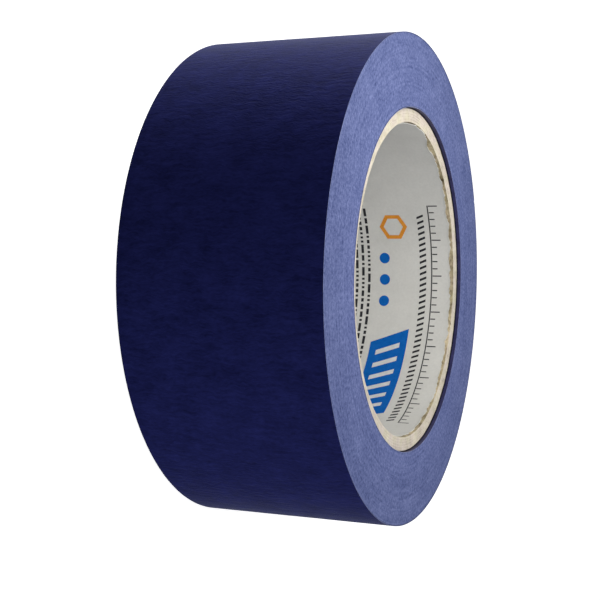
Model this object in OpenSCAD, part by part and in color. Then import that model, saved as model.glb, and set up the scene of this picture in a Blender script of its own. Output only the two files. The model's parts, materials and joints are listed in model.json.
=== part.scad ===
// Roll of masking tape: a strip of crepe paper tape wound on a core of slantwise-wound board.
// The roll lies on one end, as it rests by itself. The origin is on the core's axis, half-way along it.
// +Z is up and runs along the axis. The free end of the tape lies towards +X.

/* [Tape] */
// Width of the tape
tape_w = 48; // [18:1:96]
// Thickness of the tape with its adhesive
tape_t = 0.14; // [0.1:0.01:0.3]
// Outside diameter of the full roll, across the free end
roll_od = 119; // [96:0.5:200]

/* [Core] */
// Bore of the core, which takes a 3 inch spindle
core_id = 76.2; // [50:0.1:92]
// Number of board plies between the liner and the facing
ply_count = 5; // [3:1:8]
// Thickness of each board ply
ply_t = 0.6; // [0.4:0.05:0.9]
// Thickness of the paper liner inside the board
liner_t = 0.2; // [0.1:0.05:0.4]
// Thickness of the facing paper outside the board
facing_t = 0.2; // [0.1:0.05:0.4]
// Film of glue between neighbouring plies
glue_t = 0.05; // [0.03:0.01:0.1]
// How far the core stops short of the tape at each end
core_recess = 1.05; // [0:0.05:3]

/* [Ply seams] */
// Distance along the core in which a seam goes once round it
seam_lead = 150; // [100:5:240]
// Width of the gap where the two edges of a ply meet
seam_gap = 0.3; // [0.2:0.1:1]

/* [Free end] */
// Where the free end lies round the roll, from +X towards +Y
end_angle = 20; // [0:5:355]
// Length of tape that lifts when the end is peeled
peel_len = 48; // [24:1:72]
// Number of short lengths that the lifted tape bends into
peel_count = 6; // [3:1:10]
// Pitch of the zigzag along the cut end
tooth_pitch = 2; // [1:0.5:4]
// Depth of the zigzag
tooth_depth = 0.8; // [0.2:0.1:1.5]
// Gap between one turn of tape and the next
turn_gap = 0.05; // [0.03:0.01:0.1]
// Gap between neighbouring lengths of the free end, where they bend
hinge_gap = 0.02; // [0.01:0.01:0.1]

/* [Hidden] */
$fn = 180;
sliver = 1;
liner_r = core_id / 2;
board_r = liner_r + liner_t + glue_t;
ply_step = ply_t + glue_t;
facing_r = board_r + ply_count * ply_step;
core_w = tape_w - 2 * core_recess;
first_turn_r = facing_r + facing_t + turn_gap;
pack_r = first_turn_r + tape_t + turn_gap;

// The outside of the roll is a spiral of two half turns on two centres, half a tape apart.
// The low half turn is centred on the core. The high one ends in the step at the free end.
centre_shift = tape_t / 2;
low_r = (roll_od - tape_t) / 2;
high_r = low_r + centre_shift;
peel_angle = peel_len / high_r * 180 / PI;
length_angle = peel_angle / peel_count;
tooth_count = round(tape_w / tooth_pitch);
tooth_w = tape_w / tooth_count;

// Turns a shape round the axis, so that its angle 0 comes to the free end
module on_roll() {
    rotate(end_angle)
        children();
}

// A strip wound on a radius r, of thickness t and width w, from one angle to another
module wound_strip(r, t, w, from, to) {
    rotate(from)
        rotate_extrude(angle = to - from)
            translate([r, -w / 2])
                square([t, w]);
}

// A strip that goes all the way round, as a tube
module tube(r, t, w) {
    rotate_extrude()
        translate([r, -w / 2])
            square([t, w]);
}

// The slanting cut through a ply where its two edges meet
module slant_seam(r, t, at) {
    cut_w = core_w + 2 * sliver;
    cut_turn = 360 * cut_w / seam_lead;
    rotate(at)
        linear_extrude(height = cut_w, center = true, twist = cut_turn, slices = 24, segments = 4)
            translate([r - sliver, -seam_gap / 2])
                square([t + 2 * sliver, seam_gap]);
}

module core_liner() {
    color("lightgray")
        on_roll()
            tube(liner_r, liner_t, core_w);
}

module core_ply(i) {
    r = board_r + (i - 1) * ply_step;
    color("wheat")
        on_roll()
            difference() {
                tube(r, ply_t, core_w);
                slant_seam(r, ply_t, i * 360 / ply_count);
            }
}

module core_facing() {
    color("antiquewhite")
        on_roll()
            tube(facing_r, facing_t, core_w);
}

// The first turn starts at a cut edge, where the second turn climbs over it
module first_turn() {
    start_angle = turn_gap / first_turn_r * 180 / PI;
    color("midnightblue")
        on_roll()
            wound_strip(first_turn_r, tape_t, tape_w, start_angle, 360);
}

// Everything under the last turn, down to the first
module tape_pack() {
    under = tape_t + turn_gap;
    color("slateblue")
        on_roll()
            difference() {
                union() {
                    translate([centre_shift, 0])
                        wound_strip(0, high_r - under, tape_w, 0, 180);
                    wound_strip(0, low_r - under, tape_w, 180, 360);
                }
                cylinder(r = pack_r, h = tape_w + 2 * sliver, center = true);
            }
}

// The last turn, from the peel line round to where it dives under the free end
module outer_turn() {
    gap_angle = turn_gap / low_r * 180 / PI;
    color("navy")
        on_roll() {
            translate([centre_shift, 0])
                wound_strip(high_r - tape_t, tape_t, tape_w, 180, peel_angle);
            wound_strip(low_r - tape_t, tape_t, tape_w, 180, 360 - gap_angle);
        }
}

// What the knife takes away beyond the zigzag of the cut end, seen flat, with the tape along +X
module cut_away() {
    points = [
        for (i = [-1:tooth_count + 1])
            for (half = [0, 1])
                [hinge_gap + half * tooth_depth, (i + half / 2 + 0.25) * tooth_w - tape_w / 2]
    ];
    polygon(concat(points, [[-sliver, tape_w], [-sliver, -tape_w]]));
}

// One short length of the free end: number 1 is at the peel line, and the last has the cut end
module tape_end(i) {
    from = (peel_count - i) * length_angle;
    gap_angle = hinge_gap / high_r * 180 / PI;
    color("navy")
        on_roll()
            translate([centre_shift, 0])
                difference() {
                    wound_strip(high_r - tape_t, tape_t, tape_w, from, from + length_angle - gap_angle);
                    if (i == peel_count)
                        translate([high_r + sliver, 0, 0])
                            rotate([0, -90, 0])
                                linear_extrude(height = tape_t + 2 * sliver)
                                    rotate(90)
                                        cut_away();
                }
}

core_liner();
for (i = [1:ply_count])
    core_ply(i);
core_facing();
first_turn();
tape_pack();
outer_turn();
for (i = [1:peel_count])
    tape_end(i);
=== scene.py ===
# %% [markdown]
# # A roll of masking tape
#
# The frame is the CAD model of the roll, in metres, lying on one end with its axis along Z.
# This lesson gives that frame its looks: the edges of every turn of tape, the crepe of the paper, the
# peeling end, the cut board of the core and its printed lining. Before each step, a note says what the
# piece is on a real roll, how it could be made, and why it is made this way.

import json
import math
import random

import bmesh
import bpy
from mathutils import Matrix, Vector, noise


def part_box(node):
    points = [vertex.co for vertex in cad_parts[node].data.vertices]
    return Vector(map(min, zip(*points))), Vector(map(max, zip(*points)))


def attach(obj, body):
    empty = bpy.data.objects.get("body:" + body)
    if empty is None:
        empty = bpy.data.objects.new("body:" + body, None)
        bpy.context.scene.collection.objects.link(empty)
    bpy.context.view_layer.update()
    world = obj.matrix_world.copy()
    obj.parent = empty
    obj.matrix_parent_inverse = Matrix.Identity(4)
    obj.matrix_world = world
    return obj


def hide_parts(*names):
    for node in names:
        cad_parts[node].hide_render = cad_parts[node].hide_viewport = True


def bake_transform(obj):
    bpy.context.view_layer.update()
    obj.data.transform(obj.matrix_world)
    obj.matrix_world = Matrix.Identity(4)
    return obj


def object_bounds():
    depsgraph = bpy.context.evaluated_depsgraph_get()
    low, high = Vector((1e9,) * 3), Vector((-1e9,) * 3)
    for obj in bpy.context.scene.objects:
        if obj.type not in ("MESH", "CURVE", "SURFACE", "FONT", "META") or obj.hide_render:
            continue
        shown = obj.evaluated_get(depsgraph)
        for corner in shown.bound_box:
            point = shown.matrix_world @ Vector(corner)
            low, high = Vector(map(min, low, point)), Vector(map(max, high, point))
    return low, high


MM = 0.001
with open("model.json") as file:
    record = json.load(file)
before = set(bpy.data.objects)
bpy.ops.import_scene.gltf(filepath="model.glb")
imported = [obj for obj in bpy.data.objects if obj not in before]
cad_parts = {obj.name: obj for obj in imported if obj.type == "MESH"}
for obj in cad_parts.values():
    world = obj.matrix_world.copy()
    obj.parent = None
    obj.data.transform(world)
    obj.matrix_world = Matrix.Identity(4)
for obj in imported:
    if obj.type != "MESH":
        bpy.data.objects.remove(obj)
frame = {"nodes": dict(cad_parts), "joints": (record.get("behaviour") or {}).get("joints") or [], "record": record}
cad_low, cad_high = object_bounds()
print("CAD box in mm:", [round(x / MM, 2) for x in (*cad_low, *cad_high)])

# %% [markdown]
# ## The camera
#
# The photograph shows the roll up on its rim, while the frame lies flat, so the camera is the one that
# turns: its own up is +Y. A camera could be turned by angles, but angles that mix a tilt and a roll are
# hard to read. Three directions say the same thing plainly: back from the aim, right, and up.

# %% Set the camera
CAMERA_PLACE = Vector((-279.25, 11.51, 113.07)) * MM
CAMERA_AIM = Vector((-2.61, -5.37, -5.32)) * MM
PHOTO_UP = Vector((0, 1, 0))
LENS_MM = 71.65
SENSOR_MM = 36

camera_data = bpy.data.cameras.new("camera")
camera_data.lens = LENS_MM
camera_data.sensor_width = SENSOR_MM
camera = bpy.data.objects.new("camera", camera_data)
back = (CAMERA_PLACE - CAMERA_AIM).normalized()
right = PHOTO_UP.cross(back).normalized()
camera_turn = Matrix((right, back.cross(right), back)).transposed()
camera.matrix_world = Matrix.Translation(CAMERA_PLACE) @ camera_turn.to_4x4()
bpy.context.scene.collection.objects.link(camera)
bpy.context.scene.camera = camera
print("camera stands", round((CAMERA_PLACE - CAMERA_AIM).length / MM), "mm from its aim")

# %% [markdown]
# ## Shader nodes in few lines
#
# A finish is a small tree of shader nodes. It could be joined by hand in the shader editor, or written
# out with a line for each socket and link, which soon fills pages. Here one helper adds a node, sets its
# options and fills its sockets, either with a value or with a link, and the others are built on it.

# %% Node helpers
def add_node(tree, kind, sockets=(), **options):
    """Adds a shader node; a socket takes a plain value or another node's output."""
    made = tree.nodes.new("ShaderNode" + kind)
    for option, value in options.items():
        setattr(made, option, value)
    for socket, value in dict(sockets).items():
        if isinstance(value, bpy.types.NodeSocket):
            tree.links.new(value, made.inputs[socket])
        else:
            made.inputs[socket].default_value = value
    return made


def weighted_sum(tree, *parts):
    """The sum of several numbers, each with its weight."""
    total = 0.0
    for number, weight in parts:
        sockets = {0: number, 1: weight, 2: total}
        total = add_node(tree, "Math", sockets, operation="MULTIPLY_ADD").outputs[0]
    return total


def ramp(tree, number, low, high):
    """A colour that runs from the colour of one stop to that of the other; a stop is (place, colour)."""
    made = add_node(tree, "ValToRGB", {0: number})
    for element, (place, colour) in zip(made.color_ramp.elements, (low, high)):
        element.position = place
        element.color = (*colour, 1)
    return made.outputs[0]


def new_finish(name, specular):
    """A material with its Principled shader; returns the material, its tree and the shader."""
    finish = bpy.data.materials.new(name)
    finish.use_nodes = True
    shader = finish.node_tree.nodes["Principled BSDF"]
    shader.inputs["Specular IOR Level"].default_value = specular
    return finish, finish.node_tree, shader


print("node helpers:", [helper.__name__ for helper in (add_node, weighted_sum, ramp, new_finish)])

# %% [markdown]
# ## From a mesh to a piece
#
# A mesh becomes a piece in one way everywhere: its doubles are merged, its faces turned outwards, and it
# goes into the scene at the origin. Faces shade smooth, apart from the edges where they meet sharply.
# Each piece could do this for itself, but then one of them would soon be inside out.

# %% Piece helper
WELD = 0.001 * MM


def make_piece(name, bm, finishes, sharp_degrees=40):
    """Turns a bmesh into an object at the origin."""
    bmesh.ops.remove_doubles(bm, verts=bm.verts, dist=WELD)
    bmesh.ops.recalc_face_normals(bm, faces=bm.faces)
    mesh = bpy.data.meshes.new(name)
    bm.to_mesh(mesh)
    open_edges = sum(e.is_boundary for e in bm.edges)
    bm.free()
    for finish in finishes:
        mesh.materials.append(finish)
    mesh.shade_smooth()
    mesh.set_sharp_from_angle(angle=math.radians(sharp_degrees))
    piece = bpy.data.objects.new(name, mesh)
    bpy.context.scene.collection.objects.link(piece)
    print(name, len(mesh.polygons), "faces,", open_edges, "open edges")
    return piece


print("points closer than", WELD / MM, "mm become one")

# %% [markdown]
# ## Floor and light
#
# The roll is shown on plain white. A floor bright enough to clip to white by light alone would flood the
# roll with light from below. Here the floor is a pale diffuse surface for all the light that bounces off
# it, and only the camera sees a glow added to it. The glow is just short of white, so that the shadow
# still shows.

# %% Finish of the floor
FLOOR_BOUNCE = 0.5
FLOOR_GREY = 0.9
FLOOR_GLOW = 0.72
FLOOR_ROUGHNESS = 0.9
WHITE = (1, 1, 1, 1)


def seen_directly(tree):
    """1 for the rays that see a surface itself, straight or in gloss and glass, and 0 for soft light."""
    path = add_node(tree, "LightPath").outputs
    seen = path["Is Camera Ray"]
    for other in ("Is Glossy Ray", "Is Transmission Ray"):
        seen = add_node(tree, "Math", {0: seen, 1: path[other]}, operation="MAXIMUM").outputs[0]
    return seen


def floor_finish():
    """Mid grey to the light that bounces off the floor, and nearly white to the eye."""
    finish, tree, shader = new_finish("white_floor", specular=0.1)
    shader.inputs["Roughness"].default_value = FLOOR_ROUGHNESS
    seen = seen_directly(tree)
    bounce, grey = (FLOOR_BOUNCE,) * 3, (FLOOR_GREY,) * 3
    tree.links.new(ramp(tree, seen, (0.0, bounce), (1.0, grey)), shader.inputs["Base Color"])
    glow = weighted_sum(tree, (seen, FLOOR_GLOW))
    tree.links.new(glow, shader.inputs["Emission Strength"])
    shader.inputs["Emission Color"].default_value = WHITE
    return finish


white_floor = floor_finish()
print(white_floor.name, "sends back", FLOOR_BOUNCE, "of the light and glows at", FLOOR_GLOW)

# %% Lay the floor
FLOOR_REACH = 3.0

bm = bmesh.new()
bmesh.ops.create_grid(bm, x_segments=1, y_segments=1, size=FLOOR_REACH)
bmesh.ops.translate(bm, verts=bm.verts, vec=(0, 0, cad_low.z))
floor = make_piece("floor", bm, [white_floor])

# %% [markdown]
# Light from all sides fills the shadows, as the walls of a white room do. Several more lamps could do
# that, but the world does it with one number. To the eye, and in gloss, the world is plain white. The
# light that it sends to the roll is only a third of that, which leaves the lamps to shape the roll.

# %% World
AMBIENT = 0.33

world = bpy.data.worlds.new("white_room")
bpy.context.scene.world = world
world.use_nodes = True
room = world.node_tree
background = room.nodes["Background"]
background.inputs["Color"].default_value = WHITE
added_to_the_eye = weighted_sum(room, (seen_directly(room), 1 - AMBIENT))
strength = add_node(room, "Math", {0: added_to_the_eye, 1: AMBIENT}, operation="ADD").outputs[0]
room.links.new(strength, background.inputs["Strength"])
print("the world is white to the eye, and lights the roll at", AMBIENT, "of that")

# %% [markdown]
# The photograph's light comes over the roll from behind, and some of it falls on the end that faces us.
# One large lamp would be simpler, but it would leave the bore dark. So each lamp here has one job: the
# back of the roll, the face at its end, the bore, the front and the underside. The two lamps beside the
# roll are no taller than it is, so that none of their light spills over the end into the bore.

# %% Soft lamps
BESIDE_HEIGHT = 0.046
WARM = (1.0, 0.97, 0.88)


def soft_lamp(name, towards, distance, width, height, watts, tint=(1, 1, 1)):
    """A flat lamp that stands in a direction from the origin and faces it."""
    data = bpy.data.lights.new(name, "AREA")
    data.shape = "RECTANGLE"
    data.size = width
    data.size_y = height
    data.energy = watts
    data.color = tint
    lamp = bpy.data.objects.new(name, data)
    direction = Vector(towards).normalized()
    lamp.location = direction * distance
    lamp.rotation_euler = direction.to_track_quat("Z", "Y").to_euler()
    bpy.context.scene.collection.objects.link(lamp)
    print(name, "gives", watts, "W from", distance, "m")


soft_lamp("back_lamp", (0.42, 0.87, 0.0), distance=0.7, width=0.3, height=BESIDE_HEIGHT, watts=8.8)
soft_lamp("face_lamp", (-0.2, 0.54, 0.81), distance=0.147, width=0.07, height=0.07, watts=0.09, tint=WARM)
soft_lamp("bore_lamp", (0.0, 0.0, 1.0), distance=0.1, width=0.05, height=0.05, watts=0.026)
soft_lamp("front_lamp", (-0.87, 0.0, 0.5), distance=1.0, width=0.3, height=0.3, watts=2.0)
soft_lamp("low_lamp", (-0.4, -0.9, 0.0), distance=0.6, width=0.3, height=BESIDE_HEIGHT, watts=1.9)
bpy.context.scene.view_settings.view_transform = "Standard"

# %% [markdown]
# ## The tape's finishes
#
# Paper is never one flat colour: it has fibres, streaks and smudges. They could be painted into a
# picture, but a picture blurs close up and has to be kept beside the script. So every finish here mixes
# a few noises, and the same noises that shade the colour also change the roughness and the bump. These
# helpers make a noise, stretch it, and bring it to the shader.

# %% Pattern helpers
def noise_of(tree, vector, scale=1.0, detail=2.0, roughness=0.5):
    """A noise between 0 and 1 along a vector."""
    sockets = {"Vector": vector, "Scale": scale, "Detail": detail, "Roughness": roughness}
    return add_node(tree, "TexNoise", sockets).outputs[0]


def mapped(tree, vector, scale):
    """A vector stretched along its axes."""
    return add_node(tree, "Mapping", {"Vector": vector, "Scale": scale}).outputs[0]


def on_object(tree):
    """The place on the piece, in metres, which is the same for all pieces as they sit at the origin."""
    return add_node(tree, "TexCoord").outputs["Object"]


def set_roughness(tree, shader, number, low, high):
    """Lets a number between 0 and 1 roughen a shader from a low to a high value."""
    sockets = {"Value": number, "To Min": low, "To Max": high}
    tree.links.new(add_node(tree, "MapRange", sockets).outputs[0], shader.inputs["Roughness"])


def set_bump(tree, shader, height, distance):
    """Bumps a shader by a height between 0 and 1, which stands for a distance in metres."""
    bump = add_node(tree, "Bump", {"Height": height, "Distance": distance})
    tree.links.new(bump.outputs[0], shader.inputs["Normal"])


print("pattern helpers:", [helper.__name__ for helper in (noise_of, mapped, set_roughness, set_bump)])

# %% [markdown]
# The tape is crepe paper, dyed through and saturated. Its face is a very dark navy with faint streaks
# across the tape, where the crepe lies. A pattern on Object coordinates would slide over the tape when it
# peels, so this one reads the tape's own UV map, which holds the run along the tape and the height in
# millimetres. The face's fibres catch light that grazes them, so it has a thin sheen.

# %% Face of the tape
DEEP_NAVY = (0.0039, 0.0050, 0.031)
PALE_NAVY = (0.0114, 0.0141, 0.080)
SWAY_MM = 2.0
RIDGES_PER_MM = (1.15, 0.24, 1)
THREADS_PER_MM = (3.2, 0.9, 1)
CLOUDS_PER_MM = (0.16, 0.13, 1)
FIBRE_SHEEN = {"Sheen Weight": 0.085, "Sheen Roughness": 0.29, "Sheen Tint": (0.8, 0.88, 1.0, 1.0)}


def face_finish():
    """Navy crepe paper, with ridges and threads that sway a little along the tape."""
    finish, tree, shader = new_finish("tape_face", specular=0.008)
    run = add_node(tree, "UVMap", uv_map="tape_run").outputs[0]
    sway = weighted_sum(tree, (noise_of(tree, run, scale=0.3), SWAY_MM))
    aside = add_node(tree, "CombineXYZ", {"X": sway}).outputs[0]
    swayed = add_node(tree, "VectorMath", {0: run, 1: aside}, operation="ADD").outputs[0]
    ridges = noise_of(tree, mapped(tree, swayed, RIDGES_PER_MM), detail=3.0)
    threads = noise_of(tree, mapped(tree, swayed, THREADS_PER_MM))
    clouds = noise_of(tree, mapped(tree, run, CLOUDS_PER_MM), detail=4.0, roughness=0.6)
    shade = weighted_sum(tree, (ridges, 0.35), (threads, 0.3), (clouds, 0.35))
    colour = ramp(tree, shade, (0.34, DEEP_NAVY), (0.66, PALE_NAVY))
    tree.links.new(colour, shader.inputs["Base Color"])
    relief = weighted_sum(tree, (ridges, 0.65), (threads, 0.35))
    set_roughness(tree, shader, relief, low=0.55, high=0.75)
    for socket, value in FIBRE_SHEEN.items():
        shader.inputs[socket].default_value = value
    set_bump(tree, shader, relief, distance=0.17 * MM)
    return finish


tape_face = face_finish()
print(tape_face.name, "has", len(tape_face.node_tree.nodes), "nodes")

# %% [markdown]
# The sticky side is dark and a little glossy, with smears along the tape. Beside the core, the first
# turn's glue is painted darker still: a painted shade for the shadow in the gap between tape and core.
# Two materials could be painted onto two rows of faces, but the border would be too clean. Here one
# finish darkens below a height, and fades over a short reach. The plain sticky side gives no height, and
# has no painted shade.

# %% Sticky side of the tape
DEEP_GLUE = (0.016, 0.016, 0.065)
PALE_GLUE = (0.034, 0.034, 0.120)
SMEARS_PER_M = (600, 600, 150)
# Reach and depth of a painted shade: below a height the glue's colour is scaled down.
PAINTED_SHADE_REACH = 0.35 * MM
PAINTED_SHADE_LEVEL = 0.12


def adhesive_finish(name, dark_below=-PAINTED_SHADE_REACH):
    """The sticky side; below a height, where one is given, it is darkened as a painted shade."""
    finish, tree, shader = new_finish(name, specular=0.2)
    place = on_object(tree)
    smears = noise_of(tree, mapped(tree, place, SMEARS_PER_M), detail=3.0)
    colour = ramp(tree, smears, (0.3, DEEP_GLUE), (0.7, PALE_GLUE))
    height = add_node(tree, "SeparateXYZ", {0: place}).outputs["Z"]
    rise = add_node(tree, "Math", {0: height}, operation="ABSOLUTE").outputs[0]
    span = {"From Min": dark_below, "From Max": dark_below + PAINTED_SHADE_REACH, "To Min": PAINTED_SHADE_LEVEL}
    # Painted shade: the colour is scaled down below the given height.
    unshaded_share = add_node(tree, "MapRange", {"Value": rise, **span}).outputs[0]
    shaded_colour = add_node(tree, "VectorMath", {0: colour, "Scale": unshaded_share}, operation="SCALE").outputs[0]
    tree.links.new(shaded_colour, shader.inputs["Base Color"])
    set_roughness(tree, shader, smears, low=0.35, high=0.55)
    set_bump(tree, shader, smears, distance=0.03 * MM)
    return finish


tape_adhesive = adhesive_finish("tape_adhesive")
print(tape_adhesive.name, "has", len(tape_adhesive.node_tree.nodes), "nodes")

# %% [markdown]
# The cut edges scatter light between loose fibres and look far paler than the face. Thousands of loose
# fibres could be modelled, but no one would see them singly. Fine specks stand for them. Faint streaks
# follow the winding: their noise runs slowly round the roll and quickly outwards, so it reads a vector
# made of the heading from the axis and the distance from it.

# %% Cut edges of the tape
STREAKS_ROUND = 2.5
STREAKS_PER_M = 1900.0
SPECKS_PER_M = 1300.0
EDGE_CLOUDS_PER_M = 160.0


def edge_finish(name, dark, light):
    """Pale loose fibres, in streaks that follow the winding."""
    finish, tree, shader = new_finish(name, specular=0.2)
    place = on_object(tree)
    flat = add_node(tree, "VectorMath", {0: place, 1: (1, 1, 0)}, operation="MULTIPLY").outputs[0]
    radius = add_node(tree, "VectorMath", {0: flat}, operation="LENGTH").outputs["Value"]
    heading = add_node(tree, "VectorMath", {0: flat}, operation="NORMALIZE").outputs[0]
    round_part = {0: heading, "Scale": STREAKS_ROUND}
    turning = add_node(tree, "VectorMath", round_part, operation="SCALE").outputs[0]
    rising = add_node(tree, "CombineXYZ", {"Z": weighted_sum(tree, (radius, STREAKS_PER_M))}).outputs[0]
    winding = add_node(tree, "VectorMath", {0: turning, 1: rising}, operation="ADD").outputs[0]
    streaks = noise_of(tree, winding, detail=3.0)
    specks = noise_of(tree, place, scale=SPECKS_PER_M, detail=4.0, roughness=0.75)
    clouds = noise_of(tree, place, scale=EDGE_CLOUDS_PER_M, detail=3.0)
    shade = weighted_sum(tree, (streaks, 0.2), (specks, 0.65), (clouds, 0.15))
    tree.links.new(ramp(tree, shade, (0.36, dark), (0.64, light)), shader.inputs["Base Color"])
    set_roughness(tree, shader, specks, low=0.8, high=1.0)
    set_bump(tree, shader, specks, distance=0.06 * MM)
    return finish


wound_edge = edge_finish("wound_edge", dark=(0.046, 0.068, 0.205), light=(0.200, 0.240, 0.490))
# The slit edges are paler than the wound edges: a painted highlight along the edges of the last turn, the free end
# and the first turn.
slit_edge_painted_highlight = edge_finish("slit_edge_painted_highlight", dark=(0.10, 0.13, 0.30), light=(0.30, 0.35, 0.62))
print("edge finishes:", [finish.name for finish in (wound_edge, slit_edge_painted_highlight)])

# %% [markdown]
# ## The wound body
#
# The ends of a roll show the edge of one long strip, wound more than a hundred times. All its sizes come
# from the frame: the width of the tape, the radius inside its last turn, and the place of the free end,
# which lies one length beyond the last hinge.

# %% Sizes of the wound tape
TAPE_T = 0.14 * MM
TURN_GAP = 0.05 * MM

half_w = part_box("tape_pack")[1].z
low_r = -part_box("outer_turn")[0].y
pack_out = low_r - TAPE_T - TURN_GAP
room_for_turns = pack_out - (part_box("first_turn")[1].y + TURN_GAP)
turns = round(room_for_turns / TAPE_T)
pack_in = pack_out - turns * TAPE_T
hinges = [Vector(joint["pos_m"]) for joint in frame["joints"]]
hinge_angles = [math.atan2(place.y, place.x) for place in hinges]
length_angle = (hinge_angles[0] - hinge_angles[-1]) / (len(hinges) - 1)
end_angle = hinge_angles[-1] - length_angle
print(turns, "turns; the free end lies at", round(math.degrees(end_angle), 2), "degrees")

# %% [markdown]
# Plain rings would look right from afar, but a strip climbs by its own thickness in each turn. Its lay
# says how much further out a turn lies than at its lowest. In the half turn beyond the free end it goes
# from one thickness to nothing. The edge also wanders a little up and down along the strip, and never
# past the ends of the frame.

# %% Lay of the tape
EDGE_WANDER = 0.04 * MM
GROOVE_DEPTH = 0.03 * MM
WANDER_RATE = 0.8


def lay(angle):
    """How much further out a turn lies than at its lowest, at an angle from the free end."""
    return TAPE_T / 2 * (1 + math.cos(angle)) if angle < math.pi else 0.0


def edge_drop(column, angle):
    """How far the edge lies below the end of the roll; columns go outwards, two for each turn."""
    travelled = math.pi * column + math.tau - angle
    wander = 0.5 + 0.5 * noise.noise(Vector((travelled * WANDER_RATE, 0.5, 0.5)))
    return EDGE_WANDER * wander + (GROOVE_DEPTH if column % 2 == 0 else 0.0)


print("lay in mm, each eighth of a turn:", [round(lay(math.tau * i / 8) / MM, 3) for i in range(8)])

# %% [markdown]
# The sides of the tape differ: its face is navy, its edges pale and its back sticky. They could be kept
# apart by the order of their faces, but that order changes with each operator. A face's own direction
# is safer: it looks outwards, inwards, or along the axis. The UV map comes from the place on the roll.

# %% Sides of the tape
BODY_FINISHES = [tape_face, wound_edge, tape_adhesive]
TAPE_FINISHES = [tape_face, slit_edge_painted_highlight, tape_adhesive]
FACE, EDGE, ADHESIVE = range(3)
SQUARE_ON = 0.6


def around(vert):
    """A vertex's distance from the axis, and its angle from 0 to a full turn."""
    return math.hypot(vert.co.x, vert.co.y), math.atan2(vert.co.y, vert.co.x) % math.tau


def outward(face):
    """How far a face looks away from the axis, from -1 to 1."""
    middle = face.calc_center_median()
    return face.normal.dot(Vector((middle.x, middle.y, 0)).normalized())


def mark_sides(bm, cut_end=FACE):
    """Gives the face, the sticky side, the slit edges and the ends of the tape their finishes."""
    for face in bm.faces:
        look = outward(face)
        slit = EDGE if abs(face.normal.z) > SQUARE_ON else cut_end
        face.material_index = FACE if look > SQUARE_ON else ADHESIVE if look < -SQUARE_ON else slit


def write_run(bm):
    """Writes the UV map of the tape: its run from the free end and its height, in millimetres."""
    run_map = bm.loops.layers.uv.new("tape_run")
    for face in bm.faces:
        middle = face.calc_center_median()
        heading = math.atan2(middle.y, middle.x) % math.tau
        for loop in face.loops:
            angle = around(loop.vert)[1]
            angle += math.tau * round((heading - angle) / math.tau)
            loop[run_map].uv = (angle * low_r / MM, loop.vert.co.z / MM)


print("sides of the tape:", [finish.name for finish in TAPE_FINISHES])

# %% [markdown]
# A profile with two points for each turn, one on the tape and one in the groove beside it, is spun once
# round. Then every point moves outwards by the lay of the tape, which brings the end of each turn to the
# start of the next. A spin can merge its two ends itself, but here each end belongs to the next turn, so
# the merge waits until the points have moved. The innermost start and the outermost end have no
# neighbour, and the gaps there are filled. The sides of a groove meet at some 50 degrees and still have to
# shade smooth, so this piece counts an edge as sharp only from a wider angle.

# %% Wind the body
WINDING_STEPS = 128
GROOVE_SMOOTH_DEGREES = 65


def set_around(vert, radius, angle, z):
    """Puts a vertex at a distance from the axis, an angle and a height."""
    vert.co = (radius * math.cos(angle), radius * math.sin(angle), z)


def turn_to_free_end(bm):
    """Turns a mesh that was made with the free end at angle 0 into the roll's own place."""
    spin = Matrix.Rotation(end_angle, 3, "Z")
    bmesh.ops.rotate(bm, verts=bm.verts, cent=(0, 0, 0), matrix=spin)


def wound_body():
    """All turns between the first and the last, as one strip that climbs from turn to turn."""
    bm = bmesh.new()
    corners = [(pack_in, -half_w), (pack_out, -half_w), (pack_out, half_w), (pack_in, half_w)]
    verts = [bm.verts.new((r, 0, z)) for r, z in corners]
    bottom, _, top, _ = [bm.edges.new((verts[i], verts[(i + 1) % 4])) for i in range(4)]
    bmesh.ops.subdivide_edges(bm, edges=[bottom, top], cuts=2 * turns - 1)
    profile = bm.verts[:] + bm.edges[:]
    spun = bmesh.ops.spin(
        bm, geom=profile, axis=(0, 0, 1), cent=(0, 0, 0), angle=math.tau, steps=WINDING_STEPS,
        use_merge=False,
    )
    last = {v for v in spun["geom_last"] if isinstance(v, bmesh.types.BMVert)}
    for vert in bm.verts:
        radius, angle = around(vert)
        angle = math.tau if vert in last else angle
        column = round((radius - pack_in) / TAPE_T * 2)
        z = math.copysign(half_w - edge_drop(column, angle), vert.co.z)
        set_around(vert, radius + lay(angle), angle, z)
    bmesh.ops.remove_doubles(bm, verts=bm.verts, dist=WELD)
    bmesh.ops.holes_fill(bm, edges=[e for e in bm.edges if e.is_boundary], sides=0)
    bmesh.ops.recalc_face_normals(bm, faces=bm.faces)
    mark_sides(bm)
    write_run(bm)
    turn_to_free_end(bm)
    return bm


def dress(piece, body, slot, *nodes):
    """Says which body a piece moves with and what it stands for; the slot, a finish of the record, is not used."""
    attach(piece, body)
    if nodes:
        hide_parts(*nodes)


body_piece = make_piece("wound_edges", wound_body(), BODY_FINISHES, GROOVE_SMOOTH_DEGREES)
dress(body_piece, "roll", "tape_edge", "tape_pack")

# %% [markdown]
# ## The last turn
#
# The last turn is what the roll shows all round. Sweeping a section round the roll would do, but the tape
# is a flat strip, so it starts as one: a flat grid, with the run of the tape along X. Each point is bent
# to its place on the roll, and the sheet then gets its thickness. These two helpers make the flat sheet
# and thicken it, and the core's board uses them too.

# %% Sheet helpers
def flat_sheet(start, end, half_height, along, across):
    """A flat grid, with its run along X and its height along Y."""
    bm = bmesh.new()
    size = Matrix.Diagonal((end - start, 2 * half_height, 1, 1))
    middle = Matrix.Translation(((start + end) / 2, 0, 0))
    bmesh.ops.create_grid(bm, x_segments=along, y_segments=across, size=0.5, matrix=middle @ size)
    return bm


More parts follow.
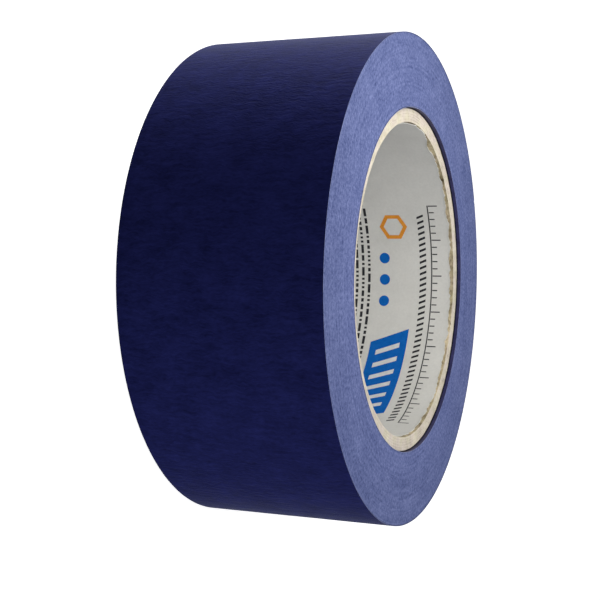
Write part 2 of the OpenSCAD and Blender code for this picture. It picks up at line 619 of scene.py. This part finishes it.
def thicken(bm, thickness):
    """Gives a bent sheet its thickness, towards the axis."""
    made = bmesh.ops.extrude_face_region(bm, geom=bm.faces[:], use_keep_orig=True)["geom"]
    for vert in made:
        if isinstance(vert, bmesh.types.BMVert):
            radius, angle = around(vert)
            set_around(vert, radius - thickness, angle, vert.co.z)
    bmesh.ops.recalc_face_normals(bm, faces=bm.faces)


print("sheet helpers:", [helper.__name__ for helper in (flat_sheet, thicken)])

# %% [markdown]
# The crepe is real relief here. A bump in the finish shades it, but leaves the outline smooth. Its ridges
# lie across the tape, so the noise is stretched that way: two waves, one broad and one narrow. It only
# goes inwards from the true surface, so the roll keeps its size.

# %% Crepe
CREPE_DEPTH = 0.035 * MM
CREPE_MIDDLE = 0.5
BROAD_WAVE = {"along": 0.5, "across": 0.09, "layer": 0.0, "share": 0.5}
NARROW_WAVE = {"along": 1.1, "across": 0.2, "layer": 7.0, "share": 0.3}


def within_one(number):
    """A number kept between 0 and 1."""
    return min(1.0, max(0.0, number))


def crepe(run, z):
    """Depth of the crepe from 0 to 1; a wave counts its ridges in a millimetre along and across."""
    depth = CREPE_MIDDLE
    for wave in (BROAD_WAVE, NARROW_WAVE):
        place = Vector((run / MM * wave["along"], z / MM * wave["across"], wave["layer"]))
        depth += wave["share"] * noise.noise(place)
    return within_one(depth)


def lay_tape(bm, cut_end=FACE):
    """Bends a flat strip onto the outside of the roll, with its crepe, UV map, thickness and finishes."""
    for vert in bm.verts:
        run, height = vert.co.x, vert.co.y
        angle = run / low_r
        depth = CREPE_DEPTH * crepe(run, height)
        set_around(vert, low_r + lay(angle) - depth, angle, height)
    thicken(bm, TAPE_T - CREPE_DEPTH)
    mark_sides(bm, cut_end)
    write_run(bm)
    turn_to_free_end(bm)


print("crepe in mm, each millimetre:", [round(CREPE_DEPTH / MM * crepe(i * MM, 0.0), 3) for i in range(8)])

# %% Make the last turn
STEP_LENGTH = 0.42 * MM
ACROSS_COARSE = 24

peel_angle = hinge_angles[0] - end_angle
flap_start = (peel_angle + length_angle / 2) * low_r
turn_end = math.tau * low_r - TURN_GAP
turn_steps = round((turn_end - flap_start) / STEP_LENGTH)
bm = flat_sheet(flap_start, turn_end, half_w, turn_steps, ACROSS_COARSE)
lay_tape(bm)
turn_piece = make_piece("last_turn", bm, TAPE_FINISHES)
dress(turn_piece, "roll", "tape", "outer_turn")

# %% [markdown]
# ## The free end
#
# The end of the tape lifts and curls back when it is peeled. The frame has short rigid lengths on hinges
# for that. Shown as they are, they would look like a chain of plates, so each piece here reaches from the
# middle of one length to the middle of the next. The last piece ends in the zigzag of the knife: its
# points are drawn back by a triangle wave that fades out behind the end.

# %% Zigzag of the knife
TOOTH_PITCH = 2.0 * MM
TOOTH_DEPTH = 0.8 * MM
TOOTH_FADE = 3.0 * MM
TOOTH_PHASE = 0.25


def cut_zigzag(bm):
    """Draws the end of a flat strip back into teeth."""
    for vert in bm.verts:
        phase = ((vert.co.y + half_w) / TOOTH_PITCH - TOOTH_PHASE) % 1
        depth = TOOTH_DEPTH * (1 - abs(2 * phase - 1))
        vert.co.x += depth * max(0.0, 1 - vert.co.x / TOOTH_FADE)


print(round(2 * half_w / TOOTH_PITCH), "teeth across the tape, each", TOOTH_DEPTH / MM, "mm deep")

# %% Make the free end
ACROSS_FINE = 96


def flap_length(number):
    """The piece about one hinge, from the middle of the length before it to the next middle."""
    hinge = hinge_angles[number - 1] - end_angle
    before, after = hinge + length_angle / 2, hinge - length_angle / 2
    tip = number == len(hinges)
    end = 0.0 if tip else after * low_r
    along = round((before * low_r - end) / STEP_LENGTH)
    bm = flat_sheet(end, before * low_r, half_w, along, ACROSS_FINE if tip else ACROSS_COARSE)
    if tip:
        cut_zigzag(bm)
    lay_tape(bm, EDGE if tip else FACE)
    piece = make_piece(f"free_end_{number}", bm, TAPE_FINISHES)
    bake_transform(piece)
    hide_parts(f"tape_end_{number}")


for number in range(1, len(hinges) + 1):
    flap_length(number)

# %% [markdown]
# ## The first turn
#
# Inside the wound body, the first turn stands a little proud of the core at both ends, with its sticky
# side to the axis. It shows as a dark band beside the core's pale rim. It could be part of the wound
# body, but its glue has a finish of its own, with a painted shade next to the core, so it is one more
# bent strip. No crepe shows here.

# %% Make the first turn
FIRST_STEPS = 240
PAINTED_SHADE_RISE = 0.05 * MM

first_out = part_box("first_turn")[1].y
core_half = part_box("core_liner")[1].z
# The glue is darkened just above the core's end: a painted shade for the shadow in the gap beside the core.
adhesive_with_painted_shade = adhesive_finish("adhesive_with_painted_shade", dark_below=core_half + PAINTED_SHADE_RISE)
bm = flat_sheet(TURN_GAP, math.tau * first_out, half_w, FIRST_STEPS, ACROSS_COARSE)
for vert in bm.verts:
    set_around(vert, first_out, vert.co.x / first_out, vert.co.y)
thicken(bm, TAPE_T)
mark_sides(bm)
turn_to_free_end(bm)
first_piece = make_piece("first_turn_band", bm, [tape_face, slit_edge_painted_highlight, adhesive_with_painted_shade])
dress(first_piece, "roll", "tape", "first_turn")

# %% [markdown]
# ## The core's board
#
# The core is made of cream board, cut through at both ends. Cut board shows fibres, dark flecks and broad
# patches, and it is never quite one hue. A single noise would look like stone, so three of them are mixed
# for the shade, and one more tints it between warm and cool. The side towards the bore has streaks of
# brown glue, which show where the lining is torn.

# %% Finish of the board
FIBRES_PER_M = (1100, 1100, 1800)
FLECKS_PER_M = 420.0
PATCHES_PER_M = 190.0
TINTS_PER_M = 260.0
WARM_TINT = (1.0, 0.98, 0.90)
COOL_TINT = (1.0, 0.95, 0.96)


def board_finish(name, dark, light, patchy):
    """Cream board; patchy is the share of broad patches in its shade, against fibres and flecks."""
    finish, tree, shader = new_finish(name, specular=0.15)
    place = on_object(tree)
    fibres = noise_of(tree, mapped(tree, place, FIBRES_PER_M), detail=4.0, roughness=0.6)
    flecks = noise_of(tree, place, scale=FLECKS_PER_M)
    patches = noise_of(tree, place, scale=PATCHES_PER_M, detail=3.0)
    fine = (1 - patchy) / 2
    shade = weighted_sum(tree, (fibres, fine), (flecks, fine), (patches, patchy))
    tint = ramp(tree, noise_of(tree, place, scale=TINTS_PER_M), (0.4, WARM_TINT), (0.6, COOL_TINT))
    colour = ramp(tree, shade, (0.35, dark), (0.62, light))
    tinted = add_node(tree, "VectorMath", {0: colour, 1: tint}, operation="MULTIPLY").outputs[0]
    tree.links.new(tinted, shader.inputs["Base Color"])
    set_roughness(tree, shader, fibres, low=0.85, high=1.0)
    set_bump(tree, shader, fibres, distance=0.12 * MM)
    return finish


cream_board = board_finish("cream_board", (0.565, 0.52, 0.44), (0.74, 0.705, 0.635), patchy=0.2)
glued_board = board_finish("glued_board", (0.07, 0.052, 0.022), (0.68, 0.60, 0.42), patchy=0.5)
facing_paper = board_finish("facing_paper", (0.45, 0.39, 0.31), (0.62, 0.56, 0.47), patchy=0.2)
print("board finishes:", [finish.name for finish in (cream_board, glued_board, facing_paper)])

# %% [markdown]
# The plies are narrow strips, wound on a slant like the tube of a kitchen roll, so each ply has one
# slanting seam. A tube with a slot cut out would show the seam, but a ply is a ribbon, and it starts as
# one. It leans over as it is bent round, so its two ends meet in a slanting joint, and then it gets its
# thickness. The knife that cut the core to length left its ends soft: their corners are bevelled and
# their faces uneven.

# %% Ring of board
CUT_ROUND = 0.05 * MM
CUT_ZONE = CUT_ROUND * 1.2
CUT_ROUGH = 0.1 * MM
CUT_WAVES = ((350, 0.5), (1400, 0.4))
CUT_MIDDLE = 0.5
RING_STEPS = 320
RING_ROWS = 12


def uneven(x, y, seed):
    """A soft unevenness from 0 to 1 over the cut end of the core; a wave is its rate and its share."""
    place = Vector((x, y, seed * MM))
    depth = CUT_MIDDLE
    for rate, share in CUT_WAVES:
        depth += share * noise.noise(place * rate)
    return within_one(depth)


def core_ring(outer, thickness, half, seed, gap, turn=0.0, lean=0.0):
    """A ribbon of board bent round the axis; its open joint starts at an angle and leans as it rises."""
    bm = flat_sheet(gap / outer, math.tau, half, RING_STEPS, RING_ROWS)
    for vert in bm.verts:
        set_around(vert, outer, vert.co.x + turn - lean * vert.co.y, vert.co.y)
    thicken(bm, thickness)
    # Of the edges at both ends, only those that run round are bevelled, not those across the thickness.
    end_edges = [e for e in bm.edges if all(abs(v.co.z) > half - WELD for v in e.verts)]
    round_edges = [e for e in end_edges if len({round(around(v)[0] / WELD) for v in e.verts}) == 1]
    bmesh.ops.bevel(
        bm, geom=round_edges, affect="EDGES", offset=CUT_ROUND, segments=2, profile=0.5, material=-1
    )
    for vert in bm.verts:
        if abs(vert.co.z) > half - CUT_ZONE:
            drop = CUT_ROUGH * uneven(vert.co.x, vert.co.y, seed)
            vert.co.z -= math.copysign(drop, vert.co.z)
    return bm


print("the cut ends of the core are up to", CUT_ROUGH / MM, "mm uneven")

# %% Make the plies
PLY_T = 0.6 * MM
GLUE_T = 0.05 * MM
SEAM_LEAD = 150 * MM
SEAM_GAP = 0.3 * MM
SEAM_OVERRUN = 2 * MM

ply_names = sorted(n for n in frame["nodes"] if n.startswith("core_ply_"))
half_seam_turn = math.pi * (2 * core_half + SEAM_OVERRUN) / SEAM_LEAD
for number, name in enumerate(ply_names, start=1):
    outer = max(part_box(name)[1].x, -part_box(name)[0].x)
    seam = end_angle + math.tau * number / len(ply_names) - half_seam_turn
    bm = core_ring(
        outer + GLUE_T, PLY_T + GLUE_T, core_half, number,
        gap=SEAM_GAP, turn=seam, lean=math.tau / SEAM_LEAD,
    )
    for face in bm.faces:
        face.material_index = int(outward(face) < -SQUARE_ON)
    ply = make_piece(f"board_ply_{number}", bm, [cream_board, glued_board])
    dress(ply, "roll", "core_board", name)

# %% [markdown]
# A thin facing paper goes round the outside of the board, under the first turn. It lies in a narrow dark
# crack, and its edge would only blur the line there, so it stops a little short of the board's end. A
# closed ring would do where no one sees it, but this is the same ribbon again, with a hair's breadth left
# open between its two ends, so that they stay apart when doubles are merged.

# %% Make the facing
FACING_T = 0.2 * MM
FACING_DROP = 0.8 * MM
FACING_GAP = 0.05 * MM
FACING_SEED = 9

facing_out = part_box("core_facing")[1].x
facing_half = core_half - FACING_DROP
bm = core_ring(facing_out, FACING_T - CUT_ROUND, facing_half, FACING_SEED, gap=FACING_GAP)
facing = make_piece("core_facing_paper", bm, [facing_paper])
dress(facing, "roll", "core_board", "core_facing")

# %% [markdown]
# ## The lining
#
# The core is lined with smooth grey-white paper. Smooth paper still has soft clouds where it is thicker,
# and very fine fibres. Both are noises again, with far less contrast than in the board.

# %% Finish of the lining
PAPER_CLOUDS_PER_M = 120.0
PAPER_FIBRES_PER_M = 1500.0
GREY_PAPER = (0.61, 0.605, 0.58)
PALE_PAPER = (0.71, 0.705, 0.68)


def lining_finish():
    """Smooth grey-white paper."""
    finish, tree, shader = new_finish("lining_paper", specular=0.25)
    place = on_object(tree)
    clouds = noise_of(tree, place, scale=PAPER_CLOUDS_PER_M, detail=4.0, roughness=0.6)
    fibres = noise_of(tree, place, scale=PAPER_FIBRES_PER_M, detail=3.0)
    shade = weighted_sum(tree, (clouds, 0.6), (fibres, 0.4))
    tree.links.new(ramp(tree, shade, (0.3, GREY_PAPER), (0.7, PALE_PAPER)), shader.inputs["Base Color"])
    set_roughness(tree, shader, shade, low=0.65, high=0.85)
    set_bump(tree, shader, fibres, distance=0.03 * MM)
    return finish


lining_paper = lining_finish()
print("lining finish:", lining_paper.name, "with", len(lining_paper.node_tree.nodes), "nodes")

# %% [markdown]
# Where the knife went through, the lining is torn: its edge stops short of the board by up to a
# millimetre or two, and lifts a little. The tear could be cut out of the sheet with a ragged line, but
# then its rows would no longer run along the edge. Here the end rows are drawn back instead, the outermost
# the most, by a noise that closes on itself round the bore.

# %% Torn edge
FRAY_LEAST = 0.15
FRAY_MIDDLE = 0.8
FRAY_WAVES = ((2.2, 0.95), (13.0, 0.55), (55.0, 0.25))
FRAY_APART = 3.7
FRAY_REACH = 3.5 * MM
CURL = 0.1
CURL_REACH = 0.3 * MM

bore = next(m for m in frame["record"]["mounts"] if m["name"] == "core_bore")
bore_r = bore["dims"]["r_mm"] * MM


def fray(angle, end):
    """How far the torn edge stops short of the core's end; a wave is its rate and its depth in mm."""
    place = Vector((math.cos(angle), math.sin(angle), end * FRAY_APART))
    depth = FRAY_MIDDLE
    for rate, share in FRAY_WAVES:
        depth += share * noise.noise(place * rate)
    return MM * max(FRAY_LEAST, depth)


def on_lining(vert, angle, z, lift=0.0):
    """Puts a vertex on the lining, given its angle and its height on the sheet before it was torn."""
    end = math.copysign(1, z)
    row = core_half - abs(z)
    torn = fray(angle, end)
    curl = CURL * torn * math.exp(-row / CURL_REACH)
    drawn_back = torn * max(0.0, 1 - row / FRAY_REACH)
    set_around(vert, bore_r - curl - lift, angle, z - end * drawn_back)


print("tear in mm, each eighth of a turn:", [round(fray(math.tau * i / 8, 1) / MM, 2) for i in range(8)])

# %% [markdown]
# The sheet itself is spun from one upright line of points, which lie close together near both ends, where
# the tear is. Then every point goes to its place on the torn sheet, and the sheet gets its thickness.

# %% Make the lining
LINING_T = 0.2 * MM
LINING_STEPS = 720
ROWS_FROM_END_MM = [0.0, 0.15, 0.4, 0.9, 1.8, 3.5]


def lining():
    """The torn paper sheet inside the core."""
    bm = bmesh.new()
    upper = [core_half - row * MM for row in ROWS_FROM_END_MM]
    lower = [-z for z in upper]
    line = [bm.verts.new((bore_r, 0, z)) for z in lower + upper[::-1]]
    for low, high in zip(line, line[1:]):
        bm.edges.new((low, high))
    profile = bm.verts[:] + bm.edges[:]
    bmesh.ops.spin(
        bm, geom=profile, axis=(0, 0, 1), cent=(0, 0, 0), angle=math.tau, steps=LINING_STEPS,
        use_merge=True,
    )
    for vert in bm.verts:
        on_lining(vert, around(vert)[1], vert.co.z)
    thicken(bm, -LINING_T)
    return bm


lining_piece = make_piece("core_lining", lining(), [lining_paper])
dress(lining_piece, "roll", "printed_paper", "core_liner")

# %% [markdown]
# ## The print
#
# The lining is printed in blue, orange and a near black. A texture would be blurred when the finish is
# baked, so each ink is its own thin skin on the paper. Printing ink lies unevenly on rough paper, so each
# colour varies a little, in fine patches.

# %% Inks
PATCHES_OF_INK_PER_M = 700.0


def ink_finish(name, dark, light):
    """A thin, slightly patchy coat of ink."""
    finish, tree, shader = new_finish(name, specular=0.08)
    patchy = noise_of(tree, on_object(tree), scale=PATCHES_OF_INK_PER_M, detail=4.0, roughness=0.65)
    tree.links.new(ramp(tree, patchy, (0.3, dark), (0.7, light)), shader.inputs["Base Color"])
    set_roughness(tree, shader, patchy, low=0.6, high=0.8)
    set_bump(tree, shader, patchy, distance=0.01 * MM)
    return finish


blue_ink = ink_finish("blue_ink", dark=(0.002, 0.105, 0.42), light=(0.006, 0.13, 0.50))
orange_ink = ink_finish("orange_ink", dark=(0.66, 0.24, 0.025), light=(0.80, 0.33, 0.05))
dark_ink = ink_finish("dark_ink", dark=(0.018, 0.018, 0.022), light=(0.045, 0.044, 0.05))
pale_ink = ink_finish("pale_ink", dark=(0.60, 0.61, 0.62), light=(0.70, 0.71, 0.72))
print("inks:", [ink.name for ink in (blue_ink, orange_ink, dark_ink, pale_ink)])

# %% [markdown]
# A printer draws flat, and so does this step: u runs round the bore and v up it, both in millimetres. The
# shapes could be drawn straight onto the round bore, but bars and rings are far simpler on a plane, and
# the paper really was flat when it was printed.

# %% Flat shapes
RING_SIDES = 6
DOT_SIDES = 24


def at(u, v):
    """Moves a shape to (u, v)."""
    return Matrix.Translation((u * MM, v * MM, 0))


def bar(bm, u, v, length, height, lean=0.0):
    """A flat bar with its lower corner at (u, v), leaning over by a share of its height."""
    place = Matrix.Translation((u + length / 2, v + height / 2, 0))
    shape = Matrix(((length, lean * height, 0, 0), (0, height, 0, 0), (0, 0, 1, 0), (0, 0, 0, 1)))
    scale = Matrix.Scale(MM, 4)
    bmesh.ops.create_grid(bm, x_segments=1, y_segments=1, size=0.5, matrix=scale @ place @ shape)


def ring(bm, u, v, outer, inner):
    """A flat six-sided ring about (u, v)."""
    edges = []
    for radius in (outer, inner):
        made = bmesh.ops.create_circle(bm, segments=RING_SIDES, radius=radius * MM, matrix=at(u, v))
        edges += list({e for vert in made["verts"] for e in vert.link_edges})
    bmesh.ops.bridge_loops(bm, edges=edges)


def dot(bm, u, v, radius):
    """A flat dot about (u, v)."""
    bmesh.ops.create_circle(bm, cap_ends=True, segments=DOT_SIDES, radius=radius * MM, matrix=at(u, v))


print("flat shapes:", [shape.__name__ for shape in (bar, ring, dot)])

# %% [markdown]
# A flat drawing is cut into narrow slices, so that it can bend, and copied to fill the turn. It then goes
# onto the torn sheet by the same rule as the paper, a hair's breadth above it, and gets the thickness of a
# coat of ink.

# %% Print an ink
INK_T = 0.012 * MM
REPEATS = 2
SLICE = 1.0 * MM
SPARE_SLICES = 6
PRINT_START = math.radians(-100)
repeat_run = math.tau * bore_r / REPEATS


def print_ink(name, bm, finish, lift):
    """Slices a flat drawing, repeats it, bends it onto the lining and thickens it; lift counts coats."""
    for cut in range(1, math.ceil(repeat_run / SLICE) + SPARE_SLICES):
        everything = bm.verts[:] + bm.edges[:] + bm.faces[:]
        bmesh.ops.bisect_plane(bm, geom=everything, plane_co=(cut * SLICE, 0, 0), plane_no=(1, 0, 0))
    once = bm.verts[:] + bm.edges[:] + bm.faces[:]
    for repeat in range(1, REPEATS):
        copied = bmesh.ops.duplicate(bm, geom=once)["geom"]
        verts = [v for v in copied if isinstance(v, bmesh.types.BMVert)]
        bmesh.ops.translate(bm, verts=verts, vec=(repeat * repeat_run, 0, 0))
    for vert in bm.verts:
        on_lining(vert, PRINT_START + vert.co.x / bore_r, vert.co.y, lift * INK_T)
    thicken(bm, INK_T)
    piece = make_piece(name, bm, [finish])
    dress(piece, "roll", "printed_paper")


print("the drawing repeats after", round(repeat_run / MM, 1), "mm")

# %% [markdown]
# The design is a plain one. In blue it has a leaning panel, three dots and a band, and in orange one
# six-sided ring. The lean of the panel comes back in the stripes on it and in the small bars further on.

# %% Blue and orange
LEAN = 0.4
FIRST_COAT = 2

bm = bmesh.new()
bar(bm, 19, 0.8, length=30, height=10.5, lean=LEAN)
for u in (59, 65, 71):
    dot(bm, u, 3.2, radius=1.5)
bar(bm, 16, -10.5, length=70, height=1.2)
print_ink("blue_print", bm, blue_ink, FIRST_COAT)

bm = bmesh.new()
ring(bm, 80, 6.4, outer=4.0, inner=2.8)
print_ink("orange_print", bm, orange_ink, FIRST_COAT)

# %% [markdown]
# The near black has rows of dashes, two rows of small leaning bars, and a scale of ticks. Dashes of one
# length would look like a ruler, so their lengths are drawn by lot, from a fixed seed, so that each run
# draws the same ones. The ticks stand a tenth of a millimetre off their line, because shapes that touch
# would be merged there, with more than two faces on one edge.

# %% Dashes, small bars and ticks
DASH_LENGTHS = (0.6, 1.0, 1.6, 2.4)
DASH_GAP = 0.6
DASH_HEIGHT = 0.75
LONG_ROWS = (-1.8, -3.6, -5.4, -7.2, -16.0, -17.8)
SHORT_ROWS = (1.2, 3.4, 5.6, 7.8)
BEADS = 42
BEAD_PITCH = 1.6
BEAD_ROWS = (13.4, -14.0)
TICKS = 36
TICK_PITCH = 2
LINE_WIDTH = 0.3


def dashes(bm, v, pick, start, end):
    """A row of dashes of uneven length, at a height, from a start to about an end."""
    u = start
    while u < end:
        length = pick.choice(DASH_LENGTHS)
        bar(bm, u, v, length, DASH_HEIGHT)
        u += length + DASH_GAP


bm = bmesh.new()
pick = random.Random(11)
for v in LONG_ROWS:
    dashes(bm, v, pick, start=34, end=84)
for v in SHORT_ROWS:
    dashes(bm, v, pick, start=3, end=12)
for v in BEAD_ROWS:
    for bead in range(BEADS):
        bar(bm, 17 + bead * BEAD_PITCH, v, length=0.65, height=1.9, lean=LEAN)
bar(bm, 16, 16.7, length=70.3, height=LINE_WIDTH)
for tick in range(TICKS):
    bar(bm, 16 + tick * TICK_PITCH, 17.1, length=LINE_WIDTH, height=2.6 if tick % 5 == 0 else 1.4)
print_ink("dark_print", bm, dark_ink, FIRST_COAT)

# %% [markdown]
# The stripes on the panel could be cut out of the blue, so that the paper shows between them. A pale
# second coat on top is simpler, and it lies a little higher than the first, so the two never flicker.

# %% Pale stripes
SECOND_COAT = 4
STRIPES = 6
STRIPE_PITCH = 4.2

bm = bmesh.new()
for stripe in range(STRIPES):
    bar(bm, 23.2 + stripe * STRIPE_PITCH, 2.8, length=1.5, height=6.5, lean=LEAN)
print_ink("pale_print", bm, pale_ink, SECOND_COAT)
